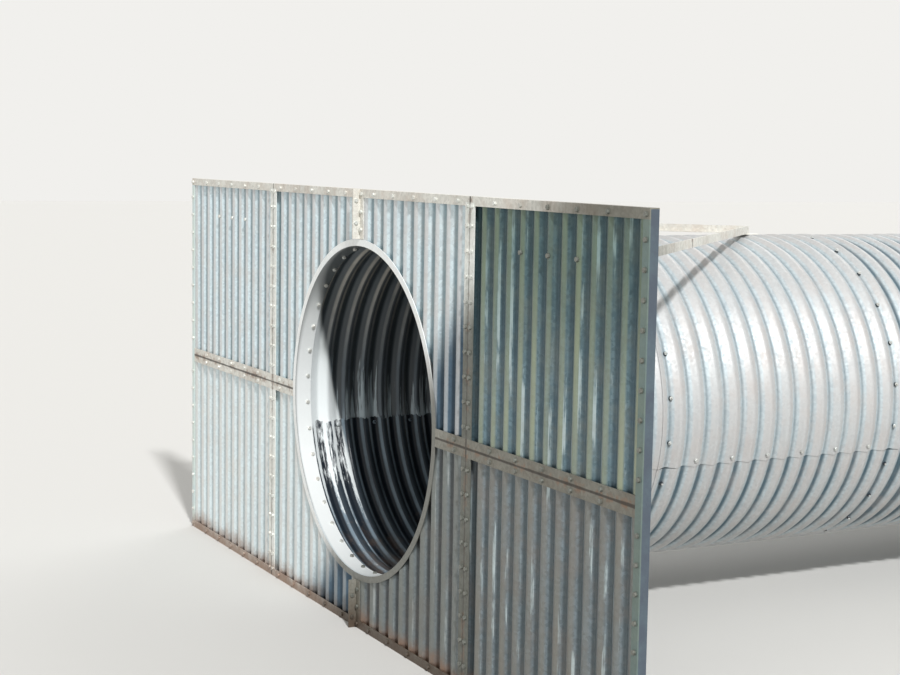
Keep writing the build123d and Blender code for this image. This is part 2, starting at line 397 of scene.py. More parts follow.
@dataclass
class PipeFasteners:
    """Bolts of the pipe: along both side seams and round the laps between its rings."""

    size: BoltSize = field(default_factory=BoltSize)
    ring_centres: tuple[float, ...] = (-2.4, -1.2, 0.0, 1.2, 2.4)
    lap_centres: tuple[float, ...] = (-1.85, -0.55, 0.55, 1.85)
    lapping_offsets: tuple[float, ...] = (-0.5, -0.3, -0.1, 0.1, 0.3, 0.5)
    lapped_offsets: tuple[float, ...] = (-0.4, -0.2, 0.0, 0.2, 0.4)
    lap_bolts: int = 24
    seam_drop: float = 0.19
    nut_gap: float = 0.004
    first_seed: int = 11

    def _radial(self, angle: float, y: float, inner: float, outer: float, heads_out: bool) -> Seat:
        """Seat of a bolt along a spoke of the pipe.

        Args:
            angle: Angle of the spoke above the +X side.
            y: Place along the pipe.
            inner: Radius of the steel's inner face.
            outer: Radius of its outer face.
            heads_out: Whether the head is on the outside.

        Returns:
            The bolt's seat.
        """
        spoke = Vector((math.cos(angle), 0, math.sin(angle)))
        centre = Vector((0, y, STEEL.axis))
        grip = outer - inner + self.nut_gap
        if heads_out:
            return Seat(centre + spoke * outer, spoke, grip)
        return Seat(centre + spoke * inner, -spoke, grip)

    def seam_seats(self) -> Iterator[Seat]:
        """Bolts through the plates' lapped sides, on every second outward crest."""
        for ring, middle in enumerate(self.ring_centres):
            lapping = ring % 2
            offsets = self.lapping_offsets if lapping else self.lapped_offsets
            inner = STEEL.crest_radius - STEEL.plate + STEEL.nest * lapping
            outer = STEEL.crest_radius + STEEL.nest * (lapping + 1)
            drop = math.asin(self.seam_drop / outer)
            for offset in offsets:
                for angle in (-drop, math.pi + drop):
                    yield self._radial(angle, middle + offset, inner, outer, True)

    def lap_seats(self) -> Iterator[Seat]:
        """Bolts round each lap between rings, in its inward crest."""
        for y in self.lap_centres:
            for step in range(self.lap_bolts):
                angle = 2 * math.pi * (step + 0.5) / self.lap_bolts
                above = math.sin(angle) > -self.seam_drop / STEEL.crest_radius
                inner = STEEL.trough_radius + (STEEL.nest if above else 0)
                outer = inner + STEEL.plate + STEEL.nest
                yield self._radial(angle, y, inner, outer, False)

    def groups(self) -> list[BoltGroup]:
        """The pipe's fasteners as two joined pieces."""
        return [
            BoltGroup("pipe_seam_bolts", self.size, list(self.seam_seats()), self.first_seed),
            BoltGroup("pipe_lap_bolts", self.size, list(self.lap_seats()), self.first_seed + 1),
        ]


class Canvas:
    """A material's node tree under construction, with the Object coordinates of its patterns."""

    def __init__(self, tree: bpy.types.NodeTree) -> None:
        """Keeps the tree and adds the coordinates."""
        self.tree = tree
        self.place = add_node(tree, "ShaderNodeTexCoord", out="Object")

    def axis(self, name: str) -> Socket:
        """One coordinate: X, Y or Z."""
        return add_node(self.tree, "ShaderNodeSeparateXYZ", {"Vector": self.place}, out=name)

    def maths(self, operation: str, first: Value, second: Value = 0.0,
              clamp: bool = False) -> Socket:
        """Works out a value from one or two others."""
        return add_node(self.tree, "ShaderNodeMath", {0: first, 1: second},
                        operation=operation, use_clamp=clamp)

    def vector(self, operation: str, first: Spot, second: Spot = (0.0, 0.0, 0.0),
               out: str = "Vector") -> Socket:
        """Works out a vector, or with out="Value" a number, from one or two vectors."""
        return add_node(self.tree, "ShaderNodeVectorMath", {0: first, 1: second}, out=out,
                        operation=operation)

    def apart(self, value: Value, centre: float) -> Socket:
        """How far a value is from a fixed one, either way."""
        return self.maths("ABSOLUTE", self.maths("SUBTRACT", value, centre))

    def ramp(self, value: Value, start: Value, stop: Value, low: Value = 0.0, high: Value = 1.0,
             kind: str = "LINEAR") -> Socket:
        """Maps a value onto another range, and keeps it there.

        Args:
            value: The value.
            start: Where the result is `low`.
            stop: Where the result is `high`.
            low: Result at and before the start.
            high: Result at and past the stop.
            kind: The way from one to the other.

        Returns:
            The mapped value.
        """
        return add_node(self.tree, "ShaderNodeMapRange", {
            "Value": value, "From Min": start, "From Max": stop, "To Min": low, "To Max": high},
            interpolation_type=kind)

    def ease(self, *bounds: Value) -> Socket:
        """A ramp with a gentle start and stop."""
        return self.ramp(*bounds, kind="SMOOTHSTEP")

    def mix(self, amount: Value, first: Value, second: Value) -> Socket:
        """Goes from one value to another by an amount from 0 to 1."""
        return add_node(self.tree, "ShaderNodeMix", {0: amount, 2: first, 3: second})

    def blend(self, amount: Value, under: Tint, over: Tint, blend_type: str = "MIX") -> Socket:
        """Lays a colour over another by an amount from 0 to 1, each a hex code or a socket."""
        first, second = (linear(tint) if isinstance(tint, str) else tint
                         for tint in (under, over))
        return add_node(self.tree, "ShaderNodeMix", {0: amount, 6: first, 7: second}, out=2,
                        data_type="RGBA", blend_type=blend_type)

    def noise(self, scale: float | tuple[float, float, float], detail: float,
              roughness: float) -> Socket:
        """Cloudy pattern from 0 to 1.

        Args:
            scale: Clouds to the metre, alike or along each axis.
            detail: Octaves of finer clouds.
            roughness: Weight of each octave against the last.

        Returns:
            The pattern.
        """
        place = self.place
        if isinstance(scale, tuple):
            place = add_node(self.tree, "ShaderNodeMapping", {"Vector": place, "Scale": scale})
            scale = 1.0
        return add_node(self.tree, "ShaderNodeTexNoise", {
            "Vector": place, "Scale": scale, "Detail": detail, "Roughness": roughness})


@dataclass(frozen=True)
class ZincFinish:
    """Hot-dip galvanised steel, weathered out of doors.

    The zinc freezes in flat spangles, each of a slightly different tone and gloss. Air dulls it in
    cloudy patches, rain leaves upright streaks, and soil dust and splashes settle on top. Painted
    light lies over it: shade in the valleys and over one side, a warm reflection of the soil on the
    crests and highlights down their shoulders.
    """

    name: str
    bright: str = "#E6F4F7"
    dull: str = "#C6D3D7"
    spangle: float = 0.012
    cloud: float = 0.28
    metallic: float = 0.5
    roughness: float = 0.44
    roughness_spread: float = 0.16
    streaks: float = 0.5
    fine: float = 0.25
    # Dust in patches; on the edge angle, painted reflections of the sky
    dust_and_reflection: str = "#CDB9A6"
    dust_and_reflection_amount: float = 0.16
    # Painted shade in the valleys, where the grazing light leaves them dark
    valley: str = "#6E8892"
    valley_amount: float = 0.0
    valley_depths: tuple[float, float] = (0.011, 0.0185)
    # Painted reflection of the warm soil on the crests, uneven in patches
    crest: str = "#CDC4BF"
    crest_amount: float = 0.0
    crest_depths: tuple[float, float] = (0.004, 0.0085)
    crest_variation: float = 0.25
    # Painted highlight down the crests' shoulders: its colour and strength
    rim: str = "#C3D2D4"
    shoulder_highlight_amount: float = 0.0
    # Painted shade over one side of the wall: its colour, strength, way and span
    painted_shade: str = "#596B7C"
    painted_shade_amount: float = 1.0
    painted_shade_way: tuple[float, float, float] = (1.0, 0.0, -1.05)
    painted_shade_span: tuple[float, float] = (-0.78, -0.42)
    # How much of the painted shade the crests are spared, as they keep their light
    crest_shade_lift: float = 0.0
    joint: str = "#3B342E"
    joint_amount: float = 0.0
    rust: str = "#86664E"
    mud: str = "#8A6A55"
    mud_height: float = 0.1
    bump: float = 0.0005

    # Sizes of the patterns in metres; pairs are a width and an upright length
    FINE_GRAIN = 0.03
    DUST_AND_REFLECTION_PATCH = 0.16
    RUST_PATCH = 0.05
    STREAK = (0.018, 0.7)
    CREST_TINT_PATCHES = (0.16, 0.9)
    # Breaks in the painted shoulder highlights
    SHOULDER_HIGHLIGHT_BREAKS = (0.07, 0.45)
    # Depth of the crests' shoulders and how far they reach either way
    SHOULDER = (0.009, 0.003)
    SPANGLE_SHARE = 0.22
    # How far the painted shade's edge wanders with the streaks
    PAINTED_SHADE_DRIFT = 0.2
    JOINT_WEAR = 0.012
    RUST_REACH = 0.022

    def material(self) -> bpy.types.Material:
        """Builds the finish as a node material on Object coordinates."""
        material = bpy.data.materials.new(self.name)
        material.use_nodes = True
        tree = material.node_tree
        tree.nodes.clear()
        paint = Canvas(tree)
        grain = self._grain(paint)
        shader = add_node(tree, "ShaderNodeBsdfPrincipled", {
            **self._coats(paint, grain), "Normal": self._surface(paint, grain)})
        add_node(tree, "ShaderNodeOutputMaterial", {"Surface": shader})
        return material

    def _coats(self, paint: Canvas, grain: Grain) -> dict[str, Value]:
        """Covers the steel.

        Args:
            paint: The material's canvas.
            grain: Patterns of the zinc.

        Returns:
            Value or socket for each of the shader's inputs, by the input's name.
        """
        metal = paint.blend(grain["tone"], self.bright, self.dull)
        colour, crest = self._relief(paint, metal)
        colour = self._soil(paint, colour)
        # painted shade over one side
        colour = self._painted_shade_side(paint, grain, crest, colour)
        colour = self._joints(paint, grain, colour)
        half = self.roughness_spread / 2
        rough = paint.ramp(grain["tone"], 0.0, 1.0, self.roughness - half, self.roughness + half)
        return {"Base Color": colour, "Roughness": rough, "Metallic": self.metallic}

    def _grain(self, paint: Canvas) -> Grain:
        """Patterns of the zinc itself.

        Args:
            paint: The material's canvas.

        Returns:
            The spangles, clouds, streaks, fine grain and the overall tone, each from 0 to 1.
        """
        spangle = add_node(paint.tree, "ShaderNodeTexVoronoi",
                           {"Vector": paint.place, "Scale": 1 / self.spangle}, out="Color")
        spangle = add_node(paint.tree, "ShaderNodeSeparateColor", {"Color": spangle})
        cloud = paint.noise(1 / self.cloud, 6.0, 0.62)
        fine = paint.noise(1 / self.FINE_GRAIN, 4.0, 0.7)
        streak = paint.noise(drawn_out(self.STREAK), 3.0, 0.55)
        mixed = paint.mix(self.streaks, cloud, streak)
        mixed = paint.mix(self.fine, mixed, fine)
        mixed = paint.mix(self.SPANGLE_SHARE, mixed, spangle)
        tone = paint.ease(mixed, 0.25, 0.75)
        return {"spangle": spangle, "cloud": cloud, "fine": fine, "streak": streak, "tone": tone}

    def _depth(self, paint: Canvas) -> Socket:
        """How far a point lies behind the plane of the wall's front crests."""
        return paint.maths("SUBTRACT", STEEL.front, paint.maths("ABSOLUTE", paint.axis("Y")))

    def _relief(self, paint: Canvas, colour: Socket) -> tuple[Socket, Value]:
        """Painted reflection on the crests and painted shade in the valleys.

        Args:
            paint: The material's canvas.
            colour: Colour of the bare metal.

        Returns:
            The colour with both, and how much of a crest each point is, from 0 to 1.
        """
        if not (self.valley_amount or self.crest_amount):
            return colour, 0.0
        depth = self._depth(paint)
        # painted shade: the valleys darken with their depth
        valley = paint.ease(depth, *self.valley_depths, 0.0, self.valley_amount)
        colour = paint.blend(valley, colour, self.valley)
        # painted reflection of the soil on the crests, stronger in some patches
        least = self.crest_amount * (1 - self.crest_variation)
        crest_tint = paint.noise(drawn_out(self.CREST_TINT_PATCHES), 3.0, 0.6)
        crest_tint = paint.ramp(crest_tint, 0.36, 0.62, least, self.crest_amount)
        crest = paint.ease(depth, *reversed(self.crest_depths), 0.0, crest_tint)
        colour = paint.blend(crest, colour, self.crest)
        # painted highlights down the crests' shoulders
        if self.shoulder_highlight_amount:
            colour = self._shoulder_highlights(paint, depth, colour)
        return colour, crest

    def _shoulder_highlights(self, paint: Canvas, depth: Socket, colour: Socket) -> Socket:
        """Painted highlights in broken lines down the shoulders of the crests.

        Args:
            paint: The material's canvas.
            depth: Depth behind the plane of the crests.
            colour: Colour under the highlights.

        Returns:
            The colour with the lines.
        """
        middle, reach = self.SHOULDER
        shoulder = add_node(paint.tree, "ShaderNodeMath", {0: depth, 1: middle, 2: reach},
                            operation="COMPARE")
        drawn = paint.noise(drawn_out(self.SHOULDER_HIGHLIGHT_BREAKS), 5.0, 0.65)
        drawn = paint.ease(drawn, 0.5, 0.62, 0.0, self.shoulder_highlight_amount)
        return paint.blend(paint.maths("MULTIPLY", shoulder, drawn), colour, self.rim)

    def _painted_shade_side(self, paint: Canvas, grain: Grain, crest: Value, colour: Socket) -> Socket:
        """Painted shade along one way, as over the lower +X side.

        Args:
            paint: The material's canvas.
            grain: Patterns of the zinc.
            crest: How much of a crest each point is.
            colour: Colour of the zinc in the light.

        Returns:
            The colour with the painted shade.
        """
        if not self.painted_shade_amount:
            return colour
        lean = paint.vector("DOT_PRODUCT", paint.place, self.painted_shade_way, "Value")
        drift = paint.maths("MULTIPLY", grain["streak"], self.PAINTED_SHADE_DRIFT)
        lean = paint.maths("ADD", lean, drift)
        lit_end, shaded_end = (bound + self.PAINTED_SHADE_DRIFT / 2 for bound in self.painted_shade_span)
        painted_shade = paint.ease(lean, lit_end, shaded_end, 0.0, self.painted_shade_amount)
        # the crests keep part of their light under the painted shade
        if self.crest_shade_lift:
            lifted = paint.ramp(crest, 0.0, 1.0, 1.0, 1 - self.crest_shade_lift)
            painted_shade = paint.maths("MULTIPLY", painted_shade, lifted)
        return paint.blend(painted_shade, colour, self.painted_shade, "MULTIPLY")

    def _soil(self, paint: Canvas, colour: Socket) -> Socket:
        """Dust in drifting patches, which on the edge angle are painted reflections of the sky, and
        splashes of mud above the ground.

        Args:
            paint: The material's canvas.
            colour: Colour under the soil.

        Returns:
            The colour with the soil on it.
        """
        patch = paint.noise(1 / self.DUST_AND_REFLECTION_PATCH, 7.0, 0.7)
        dust_and_reflection = paint.ease(patch, 0.42, 0.68, 0.0, self.dust_and_reflection_amount)
        colour = paint.blend(dust_and_reflection, colour, self.dust_and_reflection)
        splash = paint.maths("MULTIPLY", patch, 2 * self.mud_height)
        level = paint.maths("SUBTRACT", splash, paint.axis("Z"))
        mud = paint.ease(level, -0.02, self.mud_height, 0.0, 0.8)
        return paint.blend(mud, colour, self.mud)

    def _joints(self, paint: Canvas, grain: Grain, colour: Socket) -> Socket:
        """Dirt packed in the joint of two angles, with rust that has crept out of it.

        Args:
            paint: The material's canvas.
            grain: Patterns of the zinc.
            colour: Colour under the dirt.

        Returns:
            The colour with the dirt and the rust.
        """
        if not self.joint_amount:
            return colour
        across = paint.apart(paint.maths("ABSOLUTE", paint.axis("X")), STEEL.lap_x)
        near = paint.maths("MINIMUM", across, paint.apart(paint.axis("Z"), STEEL.axis))
        worn = paint.maths("MULTIPLY", grain["cloud"], self.JOINT_WEAR)
        near = paint.maths("SUBTRACT", near, worn)
        creep = paint.noise(1 / self.RUST_PATCH, 5.0, 0.65)
        creep = paint.ease(creep, 0.5, 0.62, 0.0, 0.75 * self.joint_amount)
        creep = paint.maths("MULTIPLY", creep, paint.ease(near, self.RUST_REACH, 0.0))
        colour = paint.blend(creep, colour, self.rust)
        line = paint.ease(near, 0.001, -0.003, 0.0, self.joint_amount)
        return paint.blend(line, colour, self.joint)

    def _surface(self, paint: Canvas, grain: Grain) -> Socket:
        """Slight unevenness of the zinc, from its fine grain and spangles."""
        level = paint.mix(0.35, grain["fine"], grain["spangle"])
        return add_node(paint.tree, "ShaderNodeBump", {
            "Strength": 0.6, "Distance": self.bump, "Height": level})


@dataclass(frozen=True)
class PipeFinish(ZincFinish):
    """Galvanised pipe plate, bright and dusty outside, with painted shade inside.

    Inside, the painted shade, with painted highlights along its ridges, is left off on the -X side
    just inside each mouth, where the key light falls. A lower plate has a brushed coat of bitumen
    inside: black, with a ragged top line and painted highlights, worn to streaks of bare zinc in
    that sunlit patch, partly wear and partly painted sun glints, and dried silt along the invert. A
    bolt's inside is its part deeper than `inner_depth`.
    """

    # Painted shade inside the pipe, darker than the zinc is, as the interior lies out of the light
    inside: str = "#40474C"
    # Colours of the painted highlights on the inside ridges: tan high up, blue-grey lower down
    ridge_high: str = "#B5AFA2"
    ridge_low: str = "#66727C"
    # Pale painted highlights in runs above the lower plates
    run_highlight: str = "#B4C3CA"
    # Zinc in the sunlit patch inside each mouth, where no painted shade lies
    sunlit: str = "#DFE5E6"
    inside_roughness: float = 0.34
    inside_metallic: float = 0.12
    bitumen: str = "#1D242C"
    # Painted highlight along the coat's ridge shoulders
    bitumen_highlight: str = "#8B9DAA"
    bitumen_roughness: float = 0.28
    specular: float = 0.5
    coat_level: float = -0.16
    coat_ragged: float = 0.017
    silt: str = "#5C4C40"
    coated: bool = False
    inner_depth: float = 0.0

    # Patterns to the metre along X, Y and Z, drawn out round the pipe
    # Breaks in the painted ridge highlights
    WEAR = (2.2, 11.0, 2.2)
    # Runs of the pale painted highlights
    HIGHLIGHT_RUNS = (2.0, 45.0, 2.0)
    DRIPS = (1.0, 16.0, 1.0)
    # Brush marks in the coat, which in the sunlit patch also stand for painted glints
    BRUSH_MARKS_AND_GLINTS = (13.0, 85.0, 13.0)
    SILT_PATCHES = 9.0
    # Way back along the slanting light, across and up, for each metre into the pipe
    SLANT = (4.37, 0.0, 3.54)
    SLANT_EDGE = 0.05
    SILT_ROUGHNESS = 0.9

    def _spoke(self, paint: Canvas) -> Socket:
        """The way from the pipe's axis to a point."""
        spoke = paint.vector("ADD", paint.place, (0, 0, -STEEL.axis))
        return paint.vector("MULTIPLY", spoke, (1, 0, 1))

    def _depth(self, paint: Canvas) -> Socket:
        """How far a point lies inside the pipe's outward crests."""
        radius = paint.vector("LENGTH", self._spoke(paint), out="Value")
        return paint.maths("SUBTRACT", STEEL.crest_radius, radius)

    def _coats(self, paint: Canvas, grain: Grain) -> dict[str, Value]:
        """Covers the steel, its inside told from its outside by the way a face looks.

        Args:
            paint: The material's canvas.
            grain: Patterns of the zinc.

        Returns:
            Value or socket for each of the shader's inputs, by the input's name.
        """
        outside = super()._coats(paint, grain)
        normal = add_node(paint.tree, "ShaderNodeNewGeometry", out="Normal")
        looks_out = paint.vector("DOT_PRODUCT", self._spoke(paint), normal, "Value")
        inner = paint.maths("LESS_THAN", looks_out, -0.1)
        if self.inner_depth:
            inner = paint.maths("GREATER_THAN", self._depth(paint), self.inner_depth)
        # the sunlit patch, where the painted shade is left off
        sunlit = self._sunlit_side(paint)
        ridge_highlight = self._ridge_highlight(paint)
        # painted shade and highlights inside
        painted_inside = self._inside_shade_and_highlights(paint, ridge_highlight, sunlit)
        colour = paint.blend(inner, outside["Base Color"], painted_inside)
        rough = paint.mix(inner, outside["Roughness"], self.inside_roughness)
        metal = paint.ramp(inner, 0.0, 1.0, self.metallic, self.inside_metallic)
        if self.coated:
            coat = self._coat(paint, inner, sunlit)
            # painted highlights on the coat's ridges
            bitumen = paint.blend(ridge_highlight, self.bitumen, self.bitumen_highlight)
            colour = paint.blend(coat, colour, bitumen)
            rough = paint.mix(coat, rough, self.bitumen_roughness)
            metal = paint.maths("SUBTRACT", metal, coat, clamp=True)
            silt = self._silt(paint, inner)
            colour = paint.blend(silt, colour, self.silt)
            rough = paint.mix(silt, rough, self.SILT_ROUGHNESS)
        return {"Base Color": colour, "Roughness": rough, "Metallic": metal,
                "Specular IOR Level": self.specular}

    def _sunlit_side(self, paint: Canvas) -> Socket:
        """The -X side just inside each mouth, where the slanting key light falls and the painted
        shade is left off.

        Args:
            paint: The material's canvas.

        Returns:
            1 on that side, with a soft edge.
        """
        slant = add_node(paint.tree, "ShaderNodeVectorMath", {
            0: self.SLANT, "Scale": super()._depth(paint)}, operation="SCALE")
        mouth = paint.vector("ADD", self._spoke(paint), slant)
        return paint.ease(paint.vector("LENGTH", mouth, out="Value"),
                          STEEL.sleeve_radius + self.SLANT_EDGE,
                          STEEL.sleeve_radius - self.SLANT_EDGE)

    def _shoulders(self, paint: Canvas) -> Socket:
        """Two narrow lines to each inward ridge, one on either shoulder, from 0 to 1."""
        depth = self._depth(paint)
        rise = paint.ease(depth, 0.0085, 0.0135)
        return paint.maths("MULTIPLY", rise, paint.ease(depth, 0.0165, 0.019, 1.0, 0.1))

    def _ridge_highlight(self, paint: Canvas) -> Socket:
        """Painted highlights along the shoulders' lines, broken unevenly along the ridge, from 0 to
        1.
        """
        patch = paint.ramp(paint.noise(self.WEAR, 6.0, 0.68), 0.34, 0.66, 0.35)
        return paint.maths("MULTIPLY", self._shoulders(paint), patch)

    def _inside_shade_and_highlights(self, paint: Canvas, ridge_highlight: Socket, sunlit: Socket) -> Socket:
        """Painted shade inside, with painted highlights along the ridges and pale painted highlights
        in runs above the lower plates.

        Args:
            paint: The material's canvas.
            ridge_highlight: 1 along the painted ridge highlights.
            sunlit: 1 in the sunlit patch, where the painted shade is left off.

        Returns:
            The inside's colour.
        """
        height = paint.axis("Z")
        # painted highlights, tan high up and blue-grey lower down
        high = paint.ramp(height, STEEL.axis + 0.1, STEEL.axis + 0.65)
        ridge = paint.blend(high, self.ridge_low, self.ridge_high)
        # painted shade inside, with painted highlights along the ridges
        painted_inside = paint.blend(ridge_highlight, self.inside, ridge)
        # pale painted highlights in runs, more of them lower down
        low = paint.ramp(height, STEEL.axis + 0.22, STEEL.axis + self.coat_level, -0.2, 0.07)
        highlight_runs = paint.maths("ADD", paint.noise(self.HIGHLIGHT_RUNS, 5.0, 0.65), low)
        highlight_runs = paint.ease(highlight_runs, 0.5, 0.6, 0.0, 0.9)
        return paint.blend(sunlit, paint.blend(highlight_runs, painted_inside, self.run_highlight), self.sunlit)

    def _coat(self, paint: Canvas, inner: Socket, sunlit: Socket) -> Socket:
        """Where the bitumen lies: below a ragged line, and worn to streaks in the sunlit patch,
        which stand partly for wear and partly for painted sun glints.

        Args:
            paint: The material's canvas.
            inner: 1 on faces that look at the pipe's axis.
            sunlit: 1 in the sunlit patch.

        Returns:
            1 on the coat, 0 off it.
        """
        height = paint.axis("Z")
        line = STEEL.axis + self.coat_level
        swing = paint.ramp(paint.noise(self.DRIPS, 6.0, 0.7), 0.3, 0.7,
                           line - self.coat_ragged, line + self.coat_ragged)
        covered = paint.ramp(paint.maths("SUBTRACT", swing, height), 0.0, 0.004)
        ridge = paint.ramp(self._shoulders(paint), 0.0, 1.0, -0.06, 0.2)
        marks = paint.maths("ADD", paint.noise(self.BRUSH_MARKS_AND_GLINTS, 7.0, 0.72), ridge)
        low = paint.ramp(height, STEEL.axis - 0.64, STEEL.axis - 0.4, -0.34, 0.0)
        marks = paint.ramp(paint.maths("ADD", marks, low), 0.42, 0.56, 0.0, 0.95)
        # bare streaks only in the sunlit patch: partly wear, partly painted sun glints
        bare_and_glinting = paint.maths("MULTIPLY", sunlit, marks)
        covered = paint.maths("SUBTRACT", covered, bare_and_glinting, clamp=True)
        return paint.maths("MULTIPLY", covered, inner)

    def _silt(self, paint: Canvas, inner: Socket) -> Socket:
        """Dried silt in patches along the invert."""
        depth = paint.maths("SUBTRACT", STEEL.axis - 0.62, paint.axis("Z"))
        depth = paint.maths("ADD", depth, paint.noise(self.SILT_PATCHES, 8.0, 0.7))
        silt = paint.ramp(depth, 0.55, 0.75, 0.0, 0.6)
        return paint.maths("MULTIPLY", silt, inner)


# Outside of the pipe plates: painted shade deep in the valleys and a warm painted reflection on the
# crests
PIPE_ZINC = {
    "bright": "#BBC6CA", "dull": "#9FAAAF", "dust_and_reflection": "#B5A79F", "dust_and_reflection_amount": 0.25,
    "crest": "#BDB8B5", "crest_amount": 0.65, "crest_depths": (0.003, 0.008),
    "valley": "#465C67", "valley_amount": 0.97, "valley_depths": (0.009, 0.0165),
    "fine": 0.12, "mud_height": 0.05, "metallic": 0.18, "roughness": 0.52,
    "painted_shade_amount": 0.0, "bump": 0.0003}


class Finish(Enum):
    """The finishes of the culvert, each with its recipe."""

    # Galvanised sheet in full weather: pale bluish zinc with a warm painted reflection on its
    # crests, painted shade in its valleys and over the lower +X side
    SHEET = ZincFinish("galvanised_sheet", bright="#E2F3F9", dull="#C2D1D8", crest="#C9C6C5",
                       valley_amount=0.76, crest_amount=0.75, crest_shade_lift=0.88,
                       painted_shade_span=(-0.86, -0.5))
    # The same sheet low down, with paler, weaker painted shade in its valleys and painted shade over
    # the lower +X side
    DUSTED_SHEET = ZincFinish("dusted_sheet", bright="#E6F4F8", dull="#CFDBDF", crest="#D3D0CC",
                              valley="#A4B6BC", valley_amount=0.5, crest_amount=0.7,
                              crest_shade_lift=0.5)
    # Low inner sheet on the +X side: a darker grey copy of the sheet as painted shade, with painted
    # highlights down the crests' shoulders
    DAMP_SHEET = ZincFinish("damp_sheet", bright="#7F888B", dull="#687175", crest="#7D807B",
                            crest_amount=0.8, crest_depths=(0.004, 0.012), valley="#3F4345",
                            valley_amount=0.8, rim="#B9C0BF", shoulder_highlight_amount=0.55, painted_shade_amount=0.0,
                            dust_and_reflection="#77706A", dust_and_reflection_amount=0.35)
    # Upper outer sheet on the +X side: a darker blue-grey copy of the sheet as painted shade, with
    # an olive painted reflection on its crests, painted highlights down their shoulders and more
    # painted shade towards the top
    SHADED_OUTER_SHEET = ZincFinish("shaded_olive_outer_sheet", bright="#708892", dull="#50666F",
                              crest="#9DA389", crest_amount=0.85, crest_depths=(0.004, 0.0095),
                              crest_variation=0.6, shoulder_highlight_amount=0.7, valley="#4A5F6B",
                              valley_amount=0.7, painted_shade="#C2CFCB", painted_shade_way=(0.0, 0.0, 1.0),
                              painted_shade_span=(1.2, 1.9), dust_and_reflection="#85887F", dust_and_reflection_amount=0.35)
    # Lower outer sheet of that side: a greyer, darker copy of the sheet as painted shade, with a
    # dull painted reflection on its crests and painted highlights down their shoulders
    SHADED_LOW_OUTER_SHEET = ZincFinish("shaded_low_outer_sheet", bright="#828F96", dull="#636E74",
                                crest="#827F76", crest_amount=0.8, crest_depths=(0.004, 0.0125),
                                crest_variation=0.5, shoulder_highlight_amount=0.85, valley="#4F5C61",
                                valley_amount=0.75, painted_shade_amount=0.0, dust_and_reflection="#7E756E",
                                dust_and_reflection_amount=0.4)
    # Rolled angle, dipped after it was cut: thicker, greyer zinc that holds dust and rusty water,
    # with painted shade over its lower +X side
    ANGLE = ZincFinish("galvanised_angle", bright="#EBEAE3", dull="#CDCCC5", dust_and_reflection="#B9A08C",
                       dust_and_reflection_amount=0.35, roughness=0.52, metallic=0.3, streaks=0.1,
                       painted_shade="#908F89", painted_shade_span=(-0.78, -0.1), joint_amount=0.85)
    # Lap angle: the same section, set upright, where rain keeps it cleaner, with painted shade over
    # its lower +X side
    LAP_ANGLE = ZincFinish("galvanised_lap_angle", bright="#F5F7F3", dull="#DDE0DA",
                           dust_and_reflection="#C4B4A4", dust_and_reflection_amount=0.2, roughness=0.5, metallic=0.25,
                           streaks=0.4, painted_shade="#73746F", joint_amount=0.5)
    # Edge angle: the same, its outer side painted blue-grey as shade with pale blue painted
    # reflections of the sky in patches, its front leg pale green-grey, and painted shade over the
    # lower +X side
    EDGE_ANGLE = ZincFinish("galvanised_edge_angle", bright="#DDE2E0", dull="#B9C3C6",
                            crest="#D8E7E0", crest_amount=0.85, valley="#9AA0BC",
                            valley_depths=(0.0, 0.002), crest_depths=(-0.002, 0.0),
                            valley_amount=0.9, dust_and_reflection="#C4DCEC", dust_and_reflection_amount=0.4, streaks=0.1,
                            painted_shade="#8A938F")
    # Rolled and welded ring, wiped clean when it was fitted: the brightest zinc, with painted shade
    # inside its sleeve, left off in the sunlit patch, and over its lower +X side
    COLLAR = PipeFinish("galvanised_collar", bright="#FAFDFD", dull="#EEF2F2", dust_and_reflection="#C9BBA9",
                        dust_and_reflection_amount=0.15, roughness=0.42, metallic=0.1, streaks=0.1,
                        painted_shade="#7B7A74", painted_shade_span=(-0.85, -0.4), inside="#5A5F61",
                        ridge_high="#6E716F", ridge_low="#666B6D", sunlit="#E9EDED")
    # Bolts, spun in the zinc bath: small dull grains with dust under the heads, and painted shade
    # over the lower +X side
    BOLT = ZincFinish("galvanised_bolt", bright="#EDEEE9", dull="#C3C6C1", spangle=0.004,
                      dust_and_reflection_amount=0.2, roughness=0.4, streaks=0.0, painted_shade="#7C7E79",
                      painted_shade_amount=0.9)
    # The same bolts in the pipe, coated over inside with the plates that they hold, with painted
    # shade on their insides above the coat
    PIPE_BOLT = PipeFinish("galvanised_pipe_bolt", bright="#D5D8D5", dull="#AEB2B0",
                           spangle=0.004, dust_and_reflection_amount=0.2, streaks=0.0, painted_shade_amount=0.0,
                           coated=True, coat_ragged=0.0, inner_depth=0.0015)
    # Upper pipe plates: dulled, dusty zinc with a warm painted reflection on the crests and painted
    # shade in the valleys outside, and painted shade with painted highlights inside
    PIPE = PipeFinish("galvanised_pipe", **PIPE_ZINC)
    # Lower pipe plates: the same, coated inside with bitumen that carries painted highlights
    COATED_PIPE = PipeFinish("bitumen_lined_pipe", **PIPE_ZINC, specular=0.25, coated=True)


